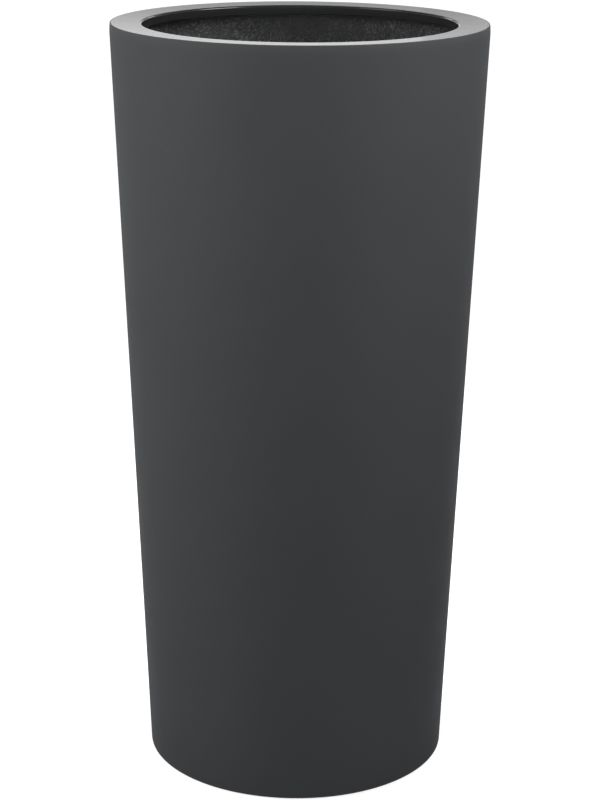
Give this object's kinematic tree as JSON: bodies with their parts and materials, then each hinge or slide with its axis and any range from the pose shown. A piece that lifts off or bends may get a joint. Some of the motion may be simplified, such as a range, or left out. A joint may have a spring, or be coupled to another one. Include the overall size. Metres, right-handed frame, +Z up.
{
  "type": "tall floor planter",
  "caption": "Tall tapered round floor planter in satin anthracite glass-fibre laminate, with a flat inward lip, a rough black inside, a drain plug and hidden rubber feet.",
  "frame": {"origin": "on the floor, at the centre of the foot", "axes": "+Z up along the planter's own axis; -Y faces the picture's camera and +X is to its right"},
  "size_m": [0.4398, 0.4398, 0.9],
  "materials": {
    "satin_lacquer": "satin",
    "black_glass_mat": "satin",
    "black_resin": "satin",
    "black_rubber": "matte"
  },
  "bodies": {
    "planter": {"wall_shell": "satin_lacquer", "lip_ring": "satin_lacquer", "inner_laminate": "black_glass_mat", "lip_coving": "black_resin", "base_plate": "black_glass_mat", "base_coving": "black_resin", "under_coving": "black_resin", "rubber_foot_front_right": "black_rubber", "rubber_foot_back_right": "black_rubber", "rubber_foot_back_left": "black_rubber", "rubber_foot_front_left": "black_rubber"},
    "plug": {"drain_plug": "black_rubber"}
  },
  "joints": [
    {"name": "plug_pull", "type": "slide", "parent": "planter", "child": "plug", "axis": [0, 0, 1], "range_m": [0, 0.05]}
  ]
}
